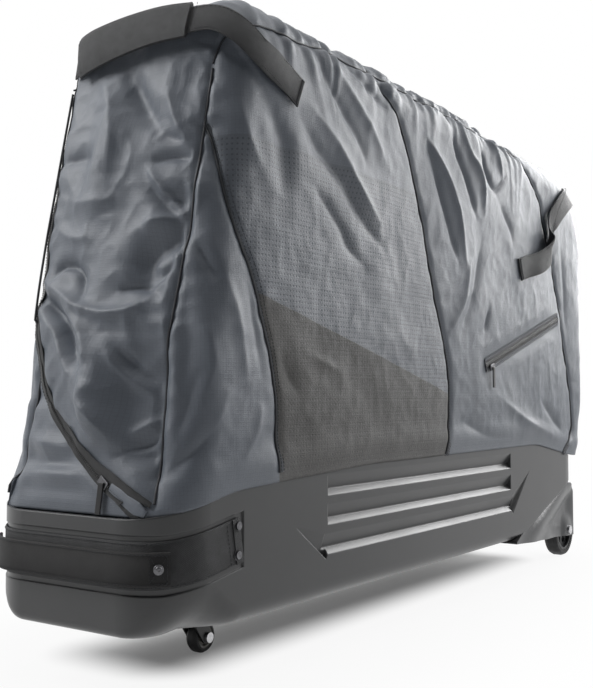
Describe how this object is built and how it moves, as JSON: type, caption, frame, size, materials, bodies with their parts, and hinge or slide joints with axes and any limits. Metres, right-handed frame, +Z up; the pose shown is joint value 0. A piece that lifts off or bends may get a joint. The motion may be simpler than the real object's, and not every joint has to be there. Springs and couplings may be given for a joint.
{
  "type": "bike travel case",
  "caption": "Tall soft-topped travel case for a bicycle: moulded tub with louvred sides on a swivel caster and fixed rear wheels, zipped fabric cover on hoops, webbing handles",
  "frame": {"origin": "middle of the bounding box, on the floor the wheels stand on", "axes": "+X to the rear wheels along the length, +Y across to the side away from the pocket, +Z up"},
  "size_m": [1.315, 0.3052, 0.8005],
  "materials": {
    "tub_plastic": "fine grained, matt",
    "foam_black": "matt foam",
    "rail_metal": "satin",
    "black_plastic": "matt",
    "bright_steel": "satin",
    "webbing_black": "woven",
    "fork_black": "satin paint",
    "core_pale": "matt",
    "core_dark": "matt",
    "tyre_rubber": "matt",
    "housing_grey": "metallic grey paint",
    "cover_cloth": "coated woven cloth with a slight sheen",
    "panel_cloth": "woven cloth with a fine dotted weave in its upper part",
    "zip_black": "satin"
  },
  "bodies": {
    "base": {"tub": "tub_plastic", "floor_pad": "foam_black", "base_rail": "rail_metal", "fork_mount": "black_plastic", "fork_skewer": "bright_steel", "hoop_front": "rail_metal", "hoop_middle": "rail_metal", "hoop_rear": "rail_metal", "hoop_sockets_front": "black_plastic", "hoop_sockets_middle": "black_plastic", "hoop_sockets_rear": "black_plastic", "front_belt": "webbing_black", "front_grab_handle": "webbing_black", "belt_screws": "bright_steel", "caster_plate": "fork_black", "caster_bolts": "bright_steel", "wheel_housing_near": "housing_grey", "wheel_housing_far": "housing_grey", "housing_gasket_near": "foam_black", "housing_gasket_far": "foam_black", "rear_axle_near": "bright_steel", "rear_axle_far": "bright_steel", "far_front_panel": "cover_cloth", "far_middle_panel": "panel_cloth", "far_rear_panel": "cover_cloth", "far_tail_panel": "cover_cloth", "near_skirt": "cover_cloth", "front_gusset": "cover_cloth", "rear_gusset": "cover_cloth", "main_zip_teeth_fixed": "zip_black", "lift_strap_far": "webbing_black", "rear_strap_far": "webbing_black"},
    "cover_flap": {"near_front_panel": "cover_cloth", "near_middle_panel": "panel_cloth", "near_rear_panel": "cover_cloth", "near_tail_panel": "cover_cloth", "front_end_panel": "cover_cloth", "top_gusset": "cover_cloth", "rear_end_panel": "cover_cloth", "main_zip_teeth_flap": "zip_black", "lift_strap_near": "webbing_black", "lift_grip": "webbing_black", "rear_strap_near": "webbing_black", "pocket_zip_tape": "zip_black", "pocket_pouch": "cover_cloth"},
    "caster_swivel": {"caster_fork": "fork_black", "caster_axle_bolt": "bright_steel"},
    "caster_wheel": {"caster_core": "core_pale", "caster_tyre": "tyre_rubber"},
    "rear_wheel_near": {"rear_wheel_near_core": "core_dark", "rear_wheel_near_tyre": "tyre_rubber"},
    "rear_wheel_far": {"rear_wheel_far_core": "core_dark", "rear_wheel_far_tyre": "tyre_rubber"},
    "main_slider": {"main_slider": "bright_steel"},
    "main_puller": {"main_puller": "zip_black"},
    "pocket_slider": {"pocket_slider": "bright_steel"},
    "pocket_puller": {"pocket_puller": "zip_black"},
    "skewer_lever": {"skewer_lever": "black_plastic"},
    "cradle": {"frame_cradle": "black_plastic", "cradle_pad": "foam_black"}
  },
  "joints": [
    {"name": "cover_fold", "type": "hinge", "parent": "base", "child": "cover_flap", "pos_m": [0, -0.147, 0.2395], "axis": [1, 0, 0], "range_deg": [0, 100]},
    {"name": "caster_turn", "type": "hinge", "parent": "base", "child": "caster_swivel", "pos_m": [-0.4345, 0, 0.06], "axis": [0, 0, 1], "continuous": true},
    {"name": "caster_roll", "type": "hinge", "parent": "caster_swivel", "child": "caster_wheel", "pos_m": [-0.4165, 0, 0.02], "axis": [0, 1, 0], "continuous": true},
    {"name": "rear_roll_near", "type": "hinge", "parent": "base", "child": "rear_wheel_near", "pos_m": [0.6045, -0.094, 0.052], "axis": [0, 1, 0], "continuous": true},
    {"name": "rear_roll_far", "type": "hinge", "parent": "base", "child": "rear_wheel_far", "pos_m": [0.6045, 0.094, 0.052], "axis": [0, 1, 0], "continuous": true},
    {"name": "main_zip", "type": "slide", "parent": "base", "child": "main_slider", "axis": [0.0903, 0.793, 0.6025], "range_m": [0, 0.09]},
    {"name": "main_puller_swing", "type": "hinge", "parent": "main_slider", "child": "main_puller", "pos_m": [-0.63655, -0.046, 0.23012], "axis": [0, 1, 0], "range_deg": [0, 120]},
    {"name": "pocket_zip", "type": "slide", "parent": "cover_flap", "child": "pocket_slider", "axis": [0.9593, 0, 0.2823], "range_m": [0, 0.32]},
    {"name": "pocket_puller_swing", "type": "hinge", "parent": "pocket_slider", "child": "pocket_puller", "pos_m": [0.15089, -0.154, 0.37153], "axis": [-1, 0, 0], "range_deg": [0, 120]},
    {"name": "lever_swing", "type": "hinge", "parent": "base", "child": "skewer_lever", "pos_m": [-0.4925, -0.066, 0.178], "axis": [-1, 0, 0], "range_deg": [0, 150]},
    {"name": "cradle_slide", "type": "slide", "parent": "base", "child": "cradle", "axis": [1, 0, 0], "range_m": [-0.3, 0.25]}
  ]
}
